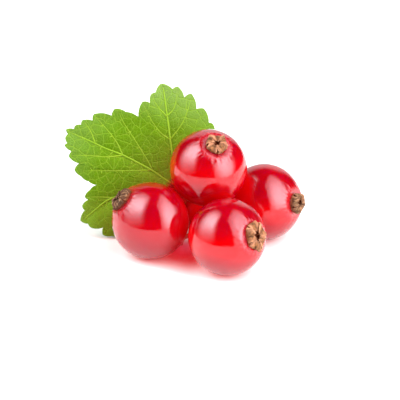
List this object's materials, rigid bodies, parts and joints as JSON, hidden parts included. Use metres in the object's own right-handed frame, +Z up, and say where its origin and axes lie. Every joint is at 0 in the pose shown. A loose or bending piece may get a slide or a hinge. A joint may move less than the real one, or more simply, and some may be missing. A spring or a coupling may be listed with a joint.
{
  "type": "redcurrant sprig",
  "caption": "Small sprig of round redcurrants with withered flower ends on a short branched stem, and a lobed, toothed leaf leaning behind them, lying on a surface.",
  "frame": {"origin": "middle of the footprint, on the surface the sprig lies on", "axes": "+Z up from the surface, +X along the longest extent from the leaf's tip to the right berry, +Y from the front berry towards the leaf's back and the cut heel of the stem"},
  "size_m": [0.0314, 0.0252, 0.0189],
  "materials": {
    "berry_skin": "glossy translucent red skin",
    "withered_calyx": "dry, crumpled, tan to brown",
    "green_stalk": "smooth fresh stem, satin",
    "leaf_blade": "fresh matt leaf with pale veins"
  },
  "bodies": {
    "root": {"berry_front": "berry_skin", "berry_left": "berry_skin", "berry_right": "berry_skin", "berry_top": "berry_skin", "berry_small": "berry_skin", "calyx_front": "withered_calyx", "calyx_left": "withered_calyx", "calyx_right": "withered_calyx", "calyx_top": "withered_calyx", "calyx_small": "withered_calyx", "strig": "green_stalk", "leaf": "leaf_blade"}
  },
  "joints": []
}
